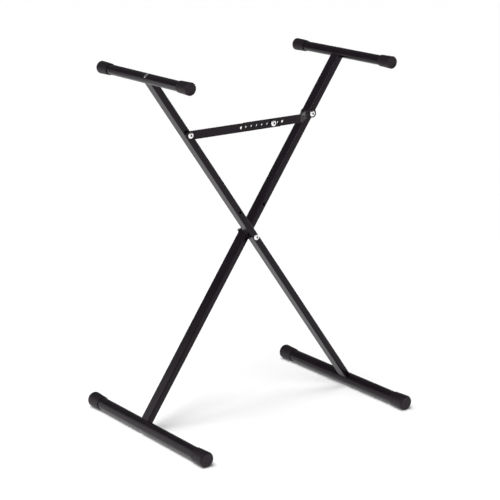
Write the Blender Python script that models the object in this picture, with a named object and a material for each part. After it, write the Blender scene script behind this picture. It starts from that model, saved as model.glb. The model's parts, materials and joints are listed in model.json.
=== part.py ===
"""Keyboard stand: two crossed legs on a pivot, capped arms and feet, and a brace of two drilled straps.

X runs across the stand, -Y is the side of the bolt heads, Z is up and the floor is at Z = 0.
Lengths are in metres. The front leg carries the left arm and the right foot, the rear leg the others.
"""

import math
from collections import namedtuple

import bmesh
import bpy

# Clearance between pieces that touch
GAP = 0.0003

# Legs, of rectangular steel tube
LEG_ANGLE = math.radians(35.0)
UPPER_LEG = 0.488
LOWER_LEG = 0.507
LEG_WIDTH = 0.016
LEG_DEPTH = 0.030
LEG_WALL = 0.0015
LEG_CORNER = 0.0035
PLUG_LENGTH = 0.030

# Arms, of round steel tube, with their rubber caps
ARM_RADIUS = 0.0115
ARM_WALL = 0.0015
ARM_LENGTH = 0.356
ARM_CAP_LENGTH = 0.038
ARM_CAP_WALL = 0.0016
ARM_CAP_FLARE = 0.0011
ARM_CAP_END = 0.004
ARM_CAP_ROUND = 0.0018
ARM_CAP_RIM = 0.0028

# Feet, of a wider round steel tube, with their rubber caps
FOOT_RADIUS = 0.015
FOOT_WALL = 0.0015
FOOT_LENGTH = 0.480
FOOT_CAP_LENGTH = 0.043
FOOT_CAP_WALL = 0.0013
FOOT_CAP_FLARE = 0.0015
FOOT_CAP_END = 0.006
FOOT_CAP_ROUND = 0.0055
FOOT_CAP_RIM = 0.0012

# Shallow dish in the closed end of every cap, and the bevel on its mouth
CAP_DISH = 0.0008
CAP_LIP = 0.0006

# Screws that hold the arms and feet to the leg ends, each on a bush inside the tube
RAIL_SCREW_HEAD_RADIUS = 0.0064
RAIL_SCREW_HEAD_HEIGHT = 0.0026
RAIL_SCREW_RADIUS = 0.003
RAIL_SCREW_GRIP = 0.022
BUSH_WALL = 0.0015
BUSH_FLANGE = 0.0018

# Pivot where the legs cross
PIVOT_SHANK_RADIUS = 0.004
PIVOT_SPACER_RADIUS = 0.0075
PIVOT_SPACER_THICKNESS = 0.001
PIVOT_WASHER_RADIUS = 0.008
PIVOT_WASHER_THICKNESS = 0.0016
PIVOT_NUT_FLATS = 0.013
PIVOT_NUT_HEIGHT = 0.0065

# Bolts of the brace, and details that all bolts and nuts share
BOLT_HEAD_RADIUS = 0.0071
BOLT_HEAD_HEIGHT = 0.004
BOLT_SHANK_RADIUS = 0.003
HEAD_RIM = 0.0007
SOCKET_FLATS = 0.005
SOCKET_DEPTH = 0.0018
NUT_FLATS = 0.010
NUT_HEIGHT = 0.005
NUT_CHAMFER = 0.0008
THREAD_END = 0.002

# Brace of two straps. BRACE_HEIGHT runs along a leg, from the pivot to the strap's bolt
BRACE_HEIGHT = 0.324
SPARE_HOLE_HEIGHT = 0.080
STRAP_WIDTH = 0.020
STRAP_THICKNESS = 0.003
STRAP_END = 0.012
STRAP_END_ROUND = 0.0092
STRAP_TIP_ROUND = 0.003
STRAP_HOLE_RADIUS = 0.0033
STRAP_SPACER_RADIUS = 0.0075
HOLE_PITCH = 0.015
HOLE_EDGE = 0.0075
CRANK_START = 0.016
CRANK_RUN = 0.043
CRANK_BEND_RADIUS = 0.005

# Lock bolt, right of the middle of the stand by its offset
LOCK_OFFSET = 0.0434
LOCK_WASHER_RADIUS = 0.0088
LOCK_WASHER_THICKNESS = 0.0012

# Holes in each strap, and which of them, from its free end, takes the lock bolt
STRAP_HOLES = 8
FRONT_LOCK_HOLE = 2
REAR_LOCK_HOLE = 6

# Segments round a turned piece, and in a quarter of a rounded edge
TUBE_STEPS = 32
CAP_STEPS = 24
BOLT_STEPS = 16
HOLE_STEPS = 12
DOME_STEPS = 4
EDGE_STEPS = 4
STRAP_END_STEPS = 6
CAP_EDGE_STEPS = 3

# Places worked out from the sizes above
LEG_GAP = PIVOT_SPACER_THICKNESS + 2 * GAP
LEG_CENTRE = (LEG_GAP + LEG_DEPTH) / 2
LEG_FACE = LEG_GAP / 2 + LEG_DEPTH
FOOT_CAP_RADIUS = FOOT_RADIUS + GAP + FOOT_CAP_WALL + FOOT_CAP_FLARE
PIVOT_HEIGHT = LOWER_LEG * math.cos(LEG_ANGLE) + FOOT_CAP_RADIUS
HALF_SPAN = BRACE_HEIGHT * math.sin(LEG_ANGLE)
REAR_STRAP_DEPTH = -(LEG_FACE + GAP + STRAP_THICKNESS / 2)
FRONT_STRAP_DEPTH = REAR_STRAP_DEPTH - GAP - STRAP_THICKNESS
TAB_DEPTH = LEG_GAP / 2 - GAP - STRAP_THICKNESS / 2
CUTTER_REACH = 2 * LEG_DEPTH

# Rotations that turn a piece's own Z toward the front, toward the back or down
TO_FRONT = (math.radians(90), 0, 0)
TO_BACK = (math.radians(-90), 0, 0)
DOWNWARD = (math.radians(180), 0, 0)

# Colour, roughness and metallic value of each finish
BLACK_STEEL = ((0.022, 0.019, 0.022), 0.35, 0.0)
ZINC = ((0.62, 0.62, 0.63), 0.28, 1.0)
RUBBER = ((0.014, 0.013, 0.014), 0.75, 0.0)
NYLON = ((0.05, 0.05, 0.05), 0.5, 0.0)
PLAIN_STEEL = ((0.30, 0.29, 0.28), 0.45, 1.0)

# Sizes of a round tube across the top or bottom of a leg, and of its caps
Rail = namedtuple("Rail", "radius wall length cap_length cap_wall cap_flare cap_end cap_round cap_rim")
ARM = Rail(ARM_RADIUS, ARM_WALL, ARM_LENGTH, ARM_CAP_LENGTH, ARM_CAP_WALL, ARM_CAP_FLARE, ARM_CAP_END,
           ARM_CAP_ROUND, ARM_CAP_RIM)
FOOT = Rail(FOOT_RADIUS, FOOT_WALL, FOOT_LENGTH, FOOT_CAP_LENGTH, FOOT_CAP_WALL, FOOT_CAP_FLARE, FOOT_CAP_END,
            FOOT_CAP_ROUND, FOOT_CAP_RIM)


def clear_scene():
    for obj in list(bpy.data.objects):
        bpy.data.objects.remove(obj, do_unlink=True)


def finish(obj, look):
    colour, roughness, metallic = look
    material = bpy.data.materials.new(obj.name + "_finish")
    material.use_nodes = True
    shader = material.node_tree.nodes["Principled BSDF"]
    shader.inputs["Base Color"].default_value = (*colour, 1.0)
    shader.inputs["Roughness"].default_value = roughness
    shader.inputs["Metallic"].default_value = metallic
    obj.data.materials.append(material)


def new_object(name, form, parent, location=(0, 0, 0), rotation=(0, 0, 0)):
    """Turn a bmesh into an object at a place in its parent's frame."""
    bmesh.ops.recalc_face_normals(form, faces=form.faces)
    mesh = bpy.data.meshes.new(name)
    form.to_mesh(mesh)
    form.free()
    mesh.shade_smooth()
    mesh.set_sharp_from_angle(angle=math.radians(30))
    obj = bpy.data.objects.new(name, mesh)
    bpy.context.collection.objects.link(obj)
    obj.parent = parent
    obj.location = location
    obj.rotation_euler = rotation
    return obj


def part(name, form, look, parent, location=(0, 0, 0), rotation=(0, 0, 0)):
    obj = new_object(name, form, parent, location, rotation)
    finish(obj, look)
    return obj


def axis_empty(name, parent, location, turn=0.0):
    empty = bpy.data.objects.new(name, None)
    bpy.context.collection.objects.link(empty)
    empty.parent = parent
    empty.location = location
    empty.rotation_euler = (0, turn, 0)
    return empty


def shape_with(obj, tool, operation):
    """Cut, or limit, an object by a tool that stays hidden."""
    tool.hide_render = True
    tool.display_type = "WIRE"
    step = obj.modifiers.new(tool.name, "BOOLEAN")
    step.operation = operation
    step.solver = "EXACT"
    step.object = tool


def circle(radius, steps):
    return [(radius * math.cos(2 * math.pi * i / steps), radius * math.sin(2 * math.pi * i / steps))
            for i in range(steps)]


def hexagon(flats):
    """A hexagon by its size across the flats."""
    return circle(flats / math.sqrt(3), 6)


def arc(centre, radius, start, end, steps):
    """Points on an arc, with its angles in degrees."""
    turns = [math.radians(start + (end - start) * i / steps) for i in range(steps + 1)]
    return [(centre[0] + radius * math.cos(t), centre[1] + radius * math.sin(t)) for t in turns]


def rounded_rectangle(width, depth, radius):
    x, y = width / 2 - radius, depth / 2 - radius
    points = []
    for corner, start in (((x, y), 0), ((-x, y), 90), ((-x, -y), 180), ((x, -y), 270)):
        points += arc(corner, radius, start, start + 90, EDGE_STEPS)
    return points


def ring_of(form, points, height):
    return [form.verts.new((x, y, height)) for x, y in points]


def bridge(form, lower, upper):
    count = len(lower)
    for i in range(count):
        j = (i + 1) % count
        form.faces.new((lower[i], lower[j], upper[j], upper[i]))


def add_prism(form, outline, bottom, top):
    lower = ring_of(form, outline, bottom)
    upper = ring_of(form, outline, top)
    bridge(form, lower, upper)
    form.faces.new(lower)
    form.faces.new(upper)


def solid_prism(outline, bottom, top):
    form = bmesh.new()
    add_prism(form, outline, bottom, top)
    return form


def hollow_prism(outer, inner, bottom, top):
    form = bmesh.new()
    outer_low, outer_high = ring_of(form, outer, bottom), ring_of(form, outer, top)
    inner_low, inner_high = ring_of(form, inner, bottom), ring_of(form, inner, top)
    bridge(form, outer_low, outer_high)
    bridge(form, inner_low, inner_high)
    bridge(form, outer_low, inner_low)
    bridge(form, outer_high, inner_high)
    return form


def turned(profile, steps, closed=False):
    """Turn (radius, height) points about Z. A radius of 0 ends the form on its axis."""
    form = bmesh.new()
    rings = []
    for radius, height in profile:
        if radius == 0:
            rings.append([form.verts.new((0, 0, height))])
        else:
            rings.append(ring_of(form, circle(radius, steps), height))
    pairs = list(zip(rings, rings[1:]))
    if closed:
        pairs.append((rings[-1], rings[0]))
    for first, second in pairs:
        for i in range(steps):
            j = (i + 1) % steps
            if len(first) == 1:
                form.faces.new((first[0], second[i], second[j]))
            elif len(second) == 1:
                form.faces.new((first[i], first[j], second[0]))
            else:
                form.faces.new((first[i], first[j], second[j], second[i]))
    return form


def drill(name, obj, parent, holes, reach, location=(0, 0, 0), rotation=(0, 0, 0)):
    """Cut round holes that run along the rotated Z. Each hole is (x, y, radius, steps) in that frame."""
    form = bmesh.new()
    for x, y, radius, steps in holes:
        add_prism(form, [(x + across, y + along) for across, along in circle(radius, steps)], -reach, reach)
    shape_with(obj, new_object(name, form, parent, location, rotation), "DIFFERENCE")


def washer(name, radius, bore, thickness, look, parent, location, rotation):
    """A flat ring that lies from its location along its own Z."""
    profile = [(bore, 0), (radius, 0), (radius, thickness), (bore, thickness)]
    return part(name, turned(profile, BOLT_STEPS, closed=True), look, parent, location, rotation)


def shank_profile(radius, length):
    """The side and the end of a shank that runs down from 0, with its end bevelled by the clearance."""
    return [(radius, 0), (radius, GAP - length), (radius - GAP, -length), (0, -length)]


def domed_bolt(name, head_radius, head_height, shank_radius, shank_length, look, parent, location, rotation):
    """A round-headed socket bolt: its seat is at its location and its head lies along its own Z."""
    profile = [(0, head_height)]
    for i in reversed(range(DOME_STEPS)):
        turn = math.radians(90) * i / DOME_STEPS
        profile.append((head_radius * math.cos(turn), HEAD_RIM + (head_height - HEAD_RIM) * math.sin(turn)))
    profile += [(head_radius, 0)] + shank_profile(shank_radius, shank_length)
    bolt = part(name, turned(profile, BOLT_STEPS), look, parent, location, rotation)
    socket = solid_prism(hexagon(SOCKET_FLATS), head_height - SOCKET_DEPTH, head_height + SOCKET_DEPTH)
    shape_with(bolt, new_object(name + "_socket", socket, parent, location, rotation), "DIFFERENCE")


def hex_nut(name, flats, height, shank_radius, look, parent, location, rotation):
    """A chamfered nut that lies from its location along its own Z, clear of the shank in it."""
    form = hollow_prism(hexagon(flats), hexagon(2 * (shank_radius + GAP)), 0, height)
    nut = part(name, form, look, parent, location, rotation)
    corner = flats / math.sqrt(3) + GAP
    barrel = [(0, -GAP), (flats / 2, -GAP), (flats / 2, 0), (corner, NUT_CHAMFER),
              (corner, height - NUT_CHAMFER), (flats / 2, height), (flats / 2, height + GAP), (0, height + GAP)]
    limit = new_object(name + "_chamfer", turned(barrel, BOLT_STEPS), parent, location, rotation)
    shape_with(nut, limit, "INTERSECT")


def end_cap(name, rail, parent, rail_height, facing, lean):
    """A rubber cup on a tube's end: it flares to its closed end, whose face is dished inside a rim."""
    bore = rail.radius + GAP
    mouth = bore + rail.cap_wall
    face = mouth + rail.cap_flare - rail.cap_round
    dish = face - rail.cap_rim
    length = rail.cap_length
    profile = [(0, length - rail.cap_end), (bore, length - rail.cap_end), (bore, 0), (mouth - CAP_LIP, 0),
               (mouth, CAP_LIP)]
    profile += arc((face, length - rail.cap_round), rail.cap_round, 0, 90, CAP_EDGE_STEPS)
    profile += [(dish, length), (dish - CAP_DISH, length - CAP_DISH), (0, length - CAP_DISH)]
    location = (0, facing * (rail.length / 2 - length), rail_height)
    part(name, turned(profile, CAP_STEPS), RUBBER, parent, location, (-facing * math.radians(90), lean, 0))


def bush(name, rail, seat, frame, centre, rotation):
    """A flanged tube that carries the screw's head on the far wall of the rail."""
    bore = RAIL_SCREW_RADIUS + GAP
    outside = bore + BUSH_WALL
    bottom = -math.sqrt((rail.radius - rail.wall - GAP) ** 2 - outside ** 2)
    top = seat - GAP
    flange = RAIL_SCREW_HEAD_RADIUS
    profile = [(bore, bottom), (outside, bottom), (outside, top - BUSH_FLANGE), (flange, top - BUSH_FLANGE / 2),
               (flange, top), (bore, top)]
    part(name, turned(profile, BOLT_STEPS, closed=True), PLAIN_STEEL, frame, centre, rotation)


def add_rail(name, rail, frame, up, height, depth, lean):
    """An arm or a foot on a leg's end, with its caps, its screw and the bush that the screw pulls on."""
    tube_end = rail.length / 2 - rail.cap_end - GAP
    outer, inner = circle(rail.radius, TUBE_STEPS), circle(rail.radius - rail.wall, TUBE_STEPS)
    form = hollow_prism(outer, inner, -tube_end, tube_end)
    tube = part(name, form, BLACK_STEEL, frame, (0, 0, height), TO_BACK)
    outward = (0, 0, 0) if up > 0 else DOWNWARD
    one_wall = rail.radius / 2
    drill(name + "_head_hole", tube, frame, [(0, 0, RAIL_SCREW_HEAD_RADIUS + GAP, TUBE_STEPS)],
          one_wall, (0, depth, height + up * rail.radius), outward)
    drill(name + "_screw_hole", tube, frame, [(0, 0, RAIL_SCREW_RADIUS + GAP, HOLE_STEPS)],
          one_wall, (0, depth, height - up * rail.radius), outward)

    seat = rail.radius - RAIL_SCREW_HEAD_HEIGHT
    bush(name + "_bush", rail, seat, frame, (0, depth, height), outward)
    screw_length = seat + rail.radius + RAIL_SCREW_GRIP
    domed_bolt(name + "_screw", RAIL_SCREW_HEAD_RADIUS, RAIL_SCREW_HEAD_HEIGHT, RAIL_SCREW_RADIUS, screw_length,
               ZINC, frame, (0, depth, height + up * seat), outward)
    for facing, end_name in ((-1, "front"), (1, "back")):
        end_cap(f"{name}_{end_name}_cap", rail, frame, height, facing, lean)


def add_leg(name, frame, depth):
    """A leg tube with its saddles for the arm and the foot, its holes, and a threaded plug in each end."""
    inner_corner = max(LEG_CORNER - LEG_WALL, GAP)
    outer = rounded_rectangle(LEG_WIDTH, LEG_DEPTH, LEG_CORNER)
    inner = rounded_rectangle(LEG_WIDTH - 2 * LEG_WALL, LEG_DEPTH - 2 * LEG_WALL, inner_corner)
    tube = part(name, hollow_prism(outer, inner, -LOWER_LEG, UPPER_LEG), BLACK_STEEL, frame, (0, depth, 0))
    inset = LEG_WALL + GAP
    core = rounded_rectangle(LEG_WIDTH - 2 * inset, LEG_DEPTH - 2 * inset, inner_corner)
    thread = [(0, 0, RAIL_SCREW_RADIUS + GAP, HOLE_STEPS)]
    saddles = []
    ends = (("upper", 1, UPPER_LEG, ARM_RADIUS), ("lower", -1, -LOWER_LEG, FOOT_RADIUS))
    for end, up, height, radius in ends:
        inner_end = height - up * (radius + PLUG_LENGTH)
        plug = part(f"{name}_{end}_plug", solid_prism(core, min(inner_end, height), max(inner_end, height)),
                    PLAIN_STEEL, frame, (0, depth, 0))
        saddle = (0, -height, radius + GAP, TUBE_STEPS)
        saddles.append(saddle)
        drill(f"{name}_{end}_saddle", plug, frame, [saddle], CUTTER_REACH, (0, depth, 0), TO_BACK)
        drill(f"{name}_{end}_thread", plug, frame, thread, radius + 2 * PLUG_LENGTH, (0, depth, height))
    holes = [(0, 0, PIVOT_SHANK_RADIUS + GAP, HOLE_STEPS),
             (0, -BRACE_HEIGHT, BOLT_SHANK_RADIUS + GAP, HOLE_STEPS),
             (0, -SPARE_HOLE_HEIGHT, STRAP_HOLE_RADIUS, HOLE_STEPS)]
    drill(name + "_holes", tube, frame, saddles + holes, CUTTER_REACH, (0, depth, 0), TO_BACK)


def crank_line(length):
    """The strap's centre line from its bolt, as (distance, depth) points: flat, cranked forward, flat."""
    drop = REAR_STRAP_DEPTH - TAB_DEPTH
    slope = math.degrees(math.atan2(drop, CRANK_RUN))
    radius = CRANK_BEND_RADIUS
    back_off = radius * math.tan(math.radians(-slope) / 2)
    points = [(-STRAP_END, 0.0)]
    points += arc((CRANK_START - back_off, -radius), radius, 90, 90 + slope, EDGE_STEPS)
    points += arc((CRANK_START + CRANK_RUN + back_off, drop + radius), radius, 270 + slope, 270, EDGE_STEPS)
    points.append((length, drop))
    return points


def thicken(line):
    """The closed outline of a strip of the strap's thickness along a line."""
    sides = ([], [])
    for i, (x, y) in enumerate(line):
        before, after = line[max(i - 1, 0)], line[min(i + 1, len(line) - 1)]
        turn = math.atan2(after[1] - before[1], after[0] - before[0])
        for side, way in zip(sides, (1, -1)):
            offset = way * STRAP_THICKNESS / 2
            side.append((x - offset * math.sin(turn), y + offset * math.cos(turn)))
    return sides[0] + sides[1][::-1]


def strap_plan(length):
    """A strap's outline seen from the front: small corners at its free end, large ones at its bolt."""
    half = STRAP_WIDTH / 2
    tip, root = min(STRAP_TIP_ROUND, half), min(STRAP_END_ROUND, half)
    plan = arc((length - tip, half - tip), tip, 90, 0, EDGE_STEPS)
    plan += arc((length - tip, tip - half), tip, 0, -90, EDGE_STEPS)
    plan += arc((root - STRAP_END, root - half), root, 270, 180, STRAP_END_STEPS)
    plan += arc((root - STRAP_END, half - root), root, 180, 90, STRAP_END_STEPS)
    return plan


def add_strap(name, line, length, direction, axis, lock_distance, lock_hole):
    """A strap from its bolt along X, with a row of holes that puts its lock hole at a set distance."""
    outline = [(direction * x, y) for x, y in thicken(line)]
    bar = part(name, solid_prism(outline, -STRAP_WIDTH / 2, STRAP_WIDTH / 2), BLACK_STEEL, axis)
    plan = [(direction * x, y) for x, y in strap_plan(length)]
    limit = solid_prism(plan, -CUTTER_REACH, CUTTER_REACH)
    shape_with(bar, new_object(name + "_plan", limit, axis, (0, 0, 0), TO_BACK), "INTERSECT")
    holes = [(0, 0, BOLT_SHANK_RADIUS + GAP, HOLE_STEPS)]
    for i in range(STRAP_HOLES):
        distance = lock_distance + (lock_hole - 1 - i) * HOLE_PITCH
        holes.append((direction * distance, 0, STRAP_HOLE_RADIUS, HOLE_STEPS))
    drill(name + "_holes", bar, axis, holes, CUTTER_REACH, (0, 0, 0), TO_BACK)


def pivot_group(frame):
    """The bolt through both legs, the spacer between them, and the washer and nut behind."""
    bore = PIVOT_SHANK_RADIUS + GAP
    washer("pivot_spacer", PIVOT_SPACER_RADIUS, bore, PIVOT_SPACER_THICKNESS, NYLON, frame,
           (0, -PIVOT_SPACER_THICKNESS / 2, 0), TO_BACK)
    seat = LEG_FACE + GAP
    washer("pivot_washer", PIVOT_WASHER_RADIUS, bore, PIVOT_WASHER_THICKNESS, ZINC, frame,
           (0, seat, 0), TO_BACK)
    nut_seat = seat + PIVOT_WASHER_THICKNESS + GAP
    hex_nut("pivot_nut", PIVOT_NUT_FLATS, PIVOT_NUT_HEIGHT, PIVOT_SHANK_RADIUS, ZINC, frame,
            (0, nut_seat, 0), TO_BACK)
    domed_bolt("pivot_bolt", BOLT_HEAD_RADIUS, BOLT_HEAD_HEIGHT, PIVOT_SHANK_RADIUS,
               seat + nut_seat + PIVOT_NUT_HEIGHT + THREAD_END, ZINC, frame, (0, -seat, 0), TO_FRONT)


def strap_bolt_group(name, frame, head_seat, nut_seat):
    """The bolt that a strap turns on, through a leg, with its nut behind. Seats are depths along Y."""
    shank_length = nut_seat - head_seat + NUT_HEIGHT + THREAD_END
    domed_bolt(name + "_bolt", BOLT_HEAD_RADIUS, BOLT_HEAD_HEIGHT, BOLT_SHANK_RADIUS, shank_length, ZINC, frame,
               (0, head_seat, BRACE_HEIGHT), TO_FRONT)
    hex_nut(name + "_nut", NUT_FLATS, NUT_HEIGHT, BOLT_SHANK_RADIUS, ZINC, frame,
            (0, nut_seat, BRACE_HEIGHT), TO_BACK)


def lock_group(front_axis, rear_axis, front_distance, rear_distance):
    """The lock bolt. It is divided between the straps: its head stays with one, its end with the other."""
    face = -STRAP_THICKNESS / 2 - GAP
    washer("lock_washer", LOCK_WASHER_RADIUS, BOLT_SHANK_RADIUS + GAP, LOCK_WASHER_THICKNESS, BLACK_STEEL,
           front_axis, (front_distance, face, 0), TO_FRONT)
    seat = face - LOCK_WASHER_THICKNESS - GAP
    domed_bolt("lock_bolt", BOLT_HEAD_RADIUS, BOLT_HEAD_HEIGHT, BOLT_SHANK_RADIUS, STRAP_THICKNESS / 2 - seat,
               ZINC, front_axis, (front_distance, seat, 0), TO_FRONT)
    drop = REAR_STRAP_DEPTH - TAB_DEPTH
    back = drop + STRAP_THICKNESS / 2 + GAP
    hex_nut("lock_nut", NUT_FLATS, NUT_HEIGHT, BOLT_SHANK_RADIUS, ZINC, rear_axis,
            (-rear_distance, back, 0), TO_BACK)
    start = drop - STRAP_THICKNESS / 2
    profile = [(0, 0)] + shank_profile(BOLT_SHANK_RADIUS, back + NUT_HEIGHT + THREAD_END - start)
    part("lock_bolt_end", turned(profile, BOLT_STEPS), ZINC, rear_axis, (-rear_distance, start, 0), TO_FRONT)


def build():
    clear_scene()
    front = axis_empty("front_frame", None, (0, 0, PIVOT_HEIGHT), -LEG_ANGLE)
    rear = axis_empty("rear_frame", None, (0, 0, PIVOT_HEIGHT), LEG_ANGLE)
    add_leg("front_leg", front, -LEG_CENTRE)
    add_rail("left_arm", ARM, front, 1, UPPER_LEG, -LEG_CENTRE, LEG_ANGLE)
    add_rail("right_foot", FOOT, front, -1, -LOWER_LEG, -LEG_CENTRE, LEG_ANGLE)
    add_leg("rear_leg", rear, LEG_CENTRE)
    add_rail("right_arm", ARM, rear, 1, UPPER_LEG, LEG_CENTRE, -LEG_ANGLE)
    add_rail("left_foot", FOOT, rear, -1, -LOWER_LEG, LEG_CENTRE, -LEG_ANGLE)
    pivot_group(front)

    front_axis = axis_empty("front_strap_axis", front, (0, FRONT_STRAP_DEPTH, BRACE_HEIGHT), LEG_ANGLE)
    rear_axis = axis_empty("rear_strap_axis", rear, (0, TAB_DEPTH, BRACE_HEIGHT), -LEG_ANGLE)
    lock_from_front = HALF_SPAN + LOCK_OFFSET
    lock_from_rear = HALF_SPAN - LOCK_OFFSET
    front_length = lock_from_front + (FRONT_LOCK_HOLE - 1) * HOLE_PITCH + HOLE_EDGE
    rear_length = lock_from_rear + (REAR_LOCK_HOLE - 1) * HOLE_PITCH + HOLE_EDGE
    flat_line = [(-STRAP_END, 0.0), (front_length, 0.0)]
    add_strap("front_strap", flat_line, front_length, 1, front_axis, lock_from_front, FRONT_LOCK_HOLE)
    add_strap("rear_strap", crank_line(rear_length), rear_length, -1, rear_axis, lock_from_rear, REAR_LOCK_HOLE)

    half = STRAP_THICKNESS / 2
    washer("front_strap_spacer", STRAP_SPACER_RADIUS, BOLT_SHANK_RADIUS + GAP, STRAP_THICKNESS, NYLON, front,
           (0, -LEG_FACE - GAP, BRACE_HEIGHT), TO_FRONT)
    strap_bolt_group("front_strap", front, FRONT_STRAP_DEPTH - half - GAP, GAP - LEG_GAP / 2)
    strap_bolt_group("rear_strap", rear, TAB_DEPTH - half - GAP, LEG_FACE + GAP)
    lock_group(front_axis, rear_axis, lock_from_front, lock_from_rear)


build()
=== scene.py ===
"""Looks of the keyboard stand: fine pieces over the fixed frame, their finishes, the floor, light and camera.

Lengths are in metres in the frame's axes: X across the stand, -Y toward the bolt heads, Z up.
Each piece is built in its own axes and placed by a matrix, so that its texture follows the piece.
"""

import json
import math

import bmesh
import bpy
from mathutils import Matrix, Vector


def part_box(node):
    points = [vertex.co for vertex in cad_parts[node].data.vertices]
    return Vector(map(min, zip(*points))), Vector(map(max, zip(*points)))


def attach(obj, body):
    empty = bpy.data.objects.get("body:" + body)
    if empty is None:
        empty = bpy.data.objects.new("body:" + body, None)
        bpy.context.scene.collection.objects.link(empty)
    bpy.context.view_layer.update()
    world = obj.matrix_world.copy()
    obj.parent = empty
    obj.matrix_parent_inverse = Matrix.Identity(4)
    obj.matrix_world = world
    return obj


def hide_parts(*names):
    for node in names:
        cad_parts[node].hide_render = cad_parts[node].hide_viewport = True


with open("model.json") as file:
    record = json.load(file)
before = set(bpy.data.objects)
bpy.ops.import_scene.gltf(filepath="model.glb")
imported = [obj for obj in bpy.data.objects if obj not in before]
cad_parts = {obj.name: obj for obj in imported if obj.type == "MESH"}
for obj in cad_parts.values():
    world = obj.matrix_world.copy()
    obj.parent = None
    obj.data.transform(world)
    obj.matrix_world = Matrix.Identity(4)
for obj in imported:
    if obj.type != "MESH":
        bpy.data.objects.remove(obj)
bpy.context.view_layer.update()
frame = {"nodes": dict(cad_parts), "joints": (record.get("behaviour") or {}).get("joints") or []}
joints = {joint["name"]: joint for joint in frame["joints"]}

# Places and sizes that the frame gives
PIVOT = Vector(joints["fold"]["pos_m"])
FRONT_BRACE = Vector(joints["front_strap_swing"]["pos_m"])
REAR_BRACE = Vector(joints["rear_strap_swing"]["pos_m"])
LEG_ANGLE = math.atan2(REAR_BRACE.x - PIVOT.x, REAR_BRACE.z - PIVOT.z)
BRACE_HEIGHT = math.hypot(REAR_BRACE.x - PIVOT.x, REAR_BRACE.z - PIVOT.z)
LEG_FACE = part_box("rear_leg")[1].y
LEG_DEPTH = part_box("rear_leg")[1].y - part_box("rear_leg")[0].y
LEG_CENTRE = LEG_FACE - LEG_DEPTH / 2
LOCK_X = (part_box("lock_washer")[0].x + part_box("lock_washer")[1].x) / 2

# Sizes of the model that its nodes' boxes don't give
GAP = 0.0003
UPPER_LEG = 0.488
LOWER_LEG = 0.507
LEG_WIDTH = 0.016
LEG_WALL = 0.0015
LEG_CORNER = 0.0035
SPARE_HOLE_HEIGHT = 0.080
STRAP_HOLE_RADIUS = 0.0033
TUBE_WALL = 0.0015
ARM_RADIUS = 0.0115
FOOT_RADIUS = 0.015
SCREW_HEAD_RADIUS = 0.0064
SCREW_HEAD_HEIGHT = 0.0026
SCREW_GRIP = 0.022
HEAD_RADIUS = 0.0071
HEAD_HEIGHT = 0.004
HEAD_RIM = 0.0007
SOCKET_FLATS = 0.005
SOCKET_DEPTH = 0.0018
SHANK_RADIUS = 0.003
PIVOT_SHANK_RADIUS = 0.004
NUT_FLATS = 0.010
PIVOT_NUT_FLATS = 0.013
PIVOT_WASHER_RADIUS = 0.008
LOCK_WASHER_RADIUS = 0.0088
SPACER_RADIUS = 0.0075
STRAP_WIDTH = 0.020
STRAP_THICKNESS = 0.003
STRAP_END = 0.012
STRAP_END_ROUND = 0.0092
STRAP_TIP_ROUND = 0.003
STRAP_HOLES = 8
HOLE_PITCH = 0.015
FRONT_LOCK_HOLE = 2
REAR_LOCK_HOLE = 6
CRANK_START = 0.016
CRANK_RUN = 0.043
CRANK_BEND_RADIUS = 0.005

# Fine details that only the looks have
EDGE = 0.00035
SHARP_ANGLE = math.radians(35)
RIM_BEAD = 0.00045
THREAD_DEPTH = 0.0004
THREAD_LENGTH = 0.008
THREAD_PITCH = 0.001
PIVOT_THREAD_PITCH = 0.00125
SOCKET_BEVEL = 0.00015
NUT_BEVEL = 0.0004
NUT_CHAMFER = math.radians(30)
PIVOT_NUT_COLLAR = 0.0016

# Wall at a cap's mouth, rounding and flat rim of its closed end, depth of the dish there, and its floor
ARM_CAP = {"wall": 0.00175, "rounding": 0.0018, "rim": 0.0018, "dish": 0.0016, "floor": 0.004}
FOOT_CAP = {"wall": 0.00145, "rounding": 0.0055, "rim": 0.0012, "dish": 0.0008, "floor": 0.006}
CAP_LIP = 0.0005
CAP_EDGE = 0.0003

# Segments round a turned piece, a bolt, a strap's two kinds of hole and a leg's corner, those along a
# leg's flat and along one turn of a thread, and the spacing where a hole is cut
ROUND_STEPS = 96
BOLT_STEPS = 48
HOLE_STEPS = 36
BOLT_HOLE_STEPS = 24
CORNER_STEPS = 8
FLAT_STEPS = 8
THREAD_STEPS = 8
DENSE_STEP = 0.001

# Points of a strap nearer than this become one
MERGE_DISTANCE = 0.00001

TO_BACK = Matrix.Rotation(math.radians(-90), 4, "X")
TO_FRONT = Matrix.Rotation(math.radians(90), 4, "X")
DOWNWARD = Matrix.Rotation(math.radians(180), 4, "X")


def leg_frame(turn):
    """Axes of a leg: from the pivot, with Z up along the leg."""
    return Matrix.Translation((PIVOT.x, 0, PIVOT.z)) @ Matrix.Rotation(turn, 4, "Y")


FRONT_FRAME = leg_frame(-LEG_ANGLE)
REAR_FRAME = leg_frame(LEG_ANGLE)


# Finishes, with their colours in linear light

COAT_DARK = (0.0055, 0.0038, 0.0059)
COAT_LIGHT = (0.0078, 0.0056, 0.0082)
COAT_RUBBED = (0.016, 0.013, 0.016)
# Edge colour of the coat: wear, and a painted highlight where edges would catch the light
COAT_WEAR_AND_EDGE_HIGHLIGHT = (0.026, 0.023, 0.026)
RUBBER_DARK = (0.006, 0.0045, 0.0062)
RUBBER_BLOOM = (0.013, 0.0108, 0.0132)
# Edge colour of the rubber: scuffs, and a painted highlight on the rims, the dish's rim among them
RUBBER_SCUFF_AND_HIGHLIGHT = (0.085, 0.079, 0.085)
ZINC_BLUISH = (0.93, 0.93, 0.94)
ZINC_YELLOWISH = (0.97, 0.965, 0.95)
# Colour in a bolt's socket: oil, and painted shade in the recess
SOCKET_SHADE_AND_OIL = (0.09, 0.088, 0.085)
CUT_STEEL = (0.32, 0.31, 0.3)
RUST = (0.16, 0.1, 0.07)
NYLON_DARK = (0.016, 0.016, 0.017)
NYLON_LIGHT = (0.026, 0.026, 0.027)


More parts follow.
